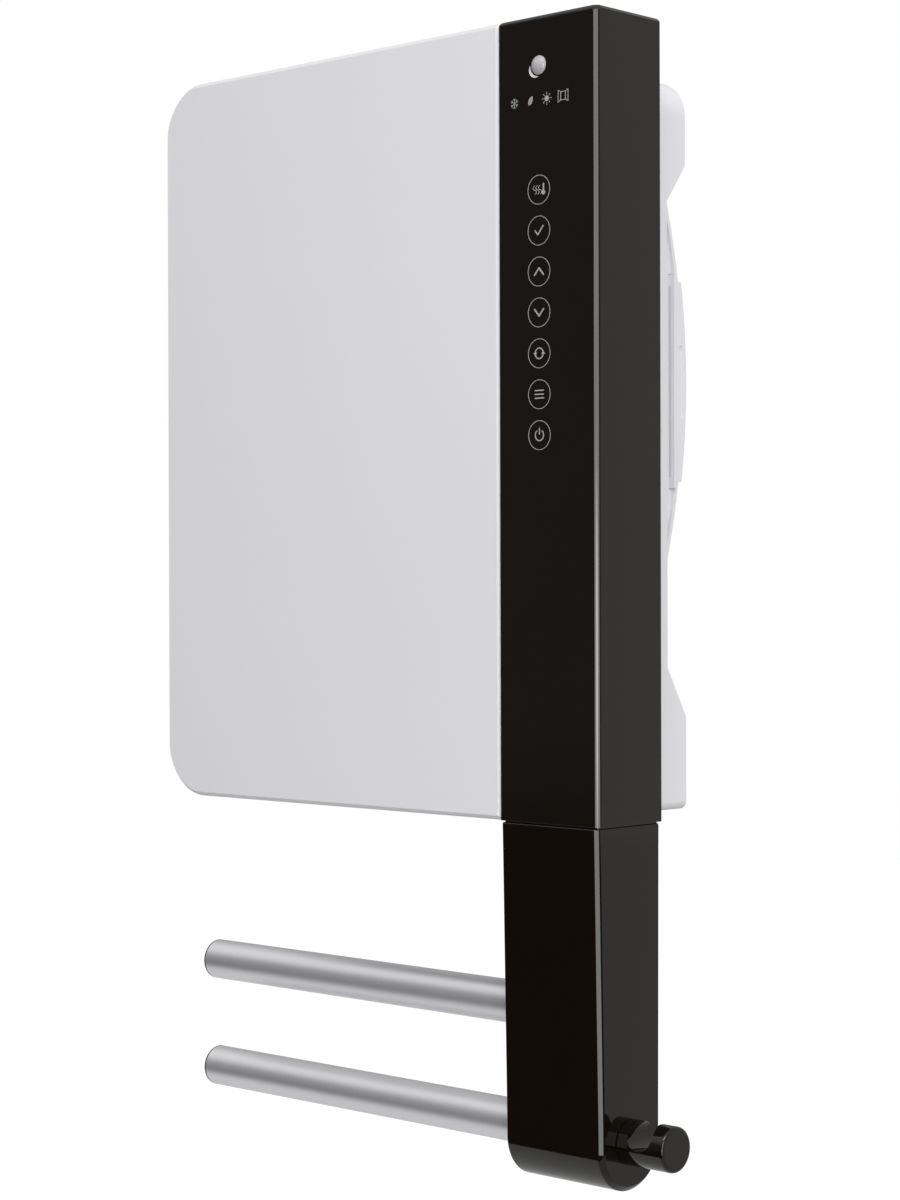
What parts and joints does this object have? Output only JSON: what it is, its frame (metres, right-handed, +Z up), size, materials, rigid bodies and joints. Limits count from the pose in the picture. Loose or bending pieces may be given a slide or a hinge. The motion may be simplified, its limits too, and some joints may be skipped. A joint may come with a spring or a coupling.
{
  "type": "electric bathroom radiator",
  "caption": "Wall-hung electric bathroom radiator: flat heating panel, rear fan heater with sliding dust filter, touch-control column, and an arm with cantilevered towel bars and a robe hook.",
  "frame": {"origin": "centre of the rectangle of wall screws, on the wall plane", "axes": "+Y into the wall along the wall screws, +Z up, +X to the right seen from the room"},
  "size_m": [0.4785, 0.1326, 0.7929],
  "materials": {
    "panel_paint": "satin powder coat",
    "film_amber": "smooth film",
    "mineral_wool": "loose fibre",
    "zinc_sheet": "zinc coated",
    "white_plastic": "fine moulded texture",
    "screw_steel": "zinc coated",
    "net_grey": "woven net",
    "fan_plastic": "moulded",
    "rotor_aluminium": "rolled sheet",
    "shaft_steel": "ground",
    "bush_bronze": "sintered",
    "lamination": "stacked sheet",
    "coil_amber": "taped winding",
    "element_metal": "heat tinted",
    "cutout_resin": "moulded resin",
    "board_green": "solder mask",
    "relay_blue": "moulded case",
    "nylon_white": "moulded",
    "gland_grey": "moulded",
    "black_gloss": "high gloss",
    "black_matt": "moulded",
    "pad_foam": "conductive foam",
    "light_pipe": "diffusing",
    "lens_grey": "pearl moulding",
    "ring_silver": "bright",
    "sensor_can": "drawn can",
    "print_grey": "screen print",
    "satin_aluminium": "satin anodised",
    "cap_grey": "moulded",
    "mast_steel": "matt black coat"
  },
  "bodies": {
    "heater": {"front_panel": "panel_paint", "heating_film": "film_amber", "insulation_board": "mineral_wool", "chassis_plate": "zinc_sheet", "rear_housing": "white_plastic", "housing_screws": "screw_steel", "fan_casing": "fan_plastic", "shaft_bush": "bush_bronze", "motor_stator": "lamination", "motor_coil": "coil_amber", "motor_brackets": "zinc_sheet", "heater_frame": "zinc_sheet", "heating_element": "element_metal", "thermal_cutout": "cutout_resin", "outlet_duct": "zinc_sheet", "outlet_grille": "cap_grey", "power_board": "board_green", "board_posts": "nylon_white", "power_relays": "relay_blue", "terminal_block": "nylon_white", "cable_gland": "gland_grey", "room_sensor": "nylon_white", "column_cover": "black_gloss", "column_back": "black_matt", "column_screws": "screw_steel", "control_board": "board_green", "touch_pads": "pad_foam", "light_guide": "light_pipe", "sensor_lens": "lens_grey", "sensor_ring": "ring_silver", "presence_sensor": "sensor_can", "key_marks": "print_grey", "arm_cover": "black_gloss", "arm_mast": "mast_steel", "mast_spacers": "zinc_sheet", "mast_screws": "screw_steel", "upper_towel_bar": "satin_aluminium", "lower_towel_bar": "satin_aluminium", "bar_end_caps": "cap_grey", "bar_plugs": "satin_aluminium", "bar_screws": "screw_steel", "robe_hook": "black_gloss", "hook_stud": "screw_steel", "hook_spacer": "zinc_sheet", "upper_wall_rail": "zinc_sheet", "lower_wall_rail": "zinc_sheet", "rail_lock_screws": "screw_steel"},
    "fan": {"fan_rotor": "rotor_aluminium", "rotor_shaft": "shaft_steel", "motor_rotor": "lamination"},
    "filter": {"filter_cassette": "white_plastic", "filter_mesh": "net_grey"}
  },
  "joints": [
    {"name": "fan_spin", "type": "hinge", "parent": "heater", "child": "fan", "pos_m": [0, -0.062, -0.13], "axis": [1, 0, 0], "continuous": true},
    {"name": "filter_slide", "type": "slide", "parent": "heater", "child": "filter", "axis": [1, 0, 0], "range_m": [0, 0.34]}
  ]
}
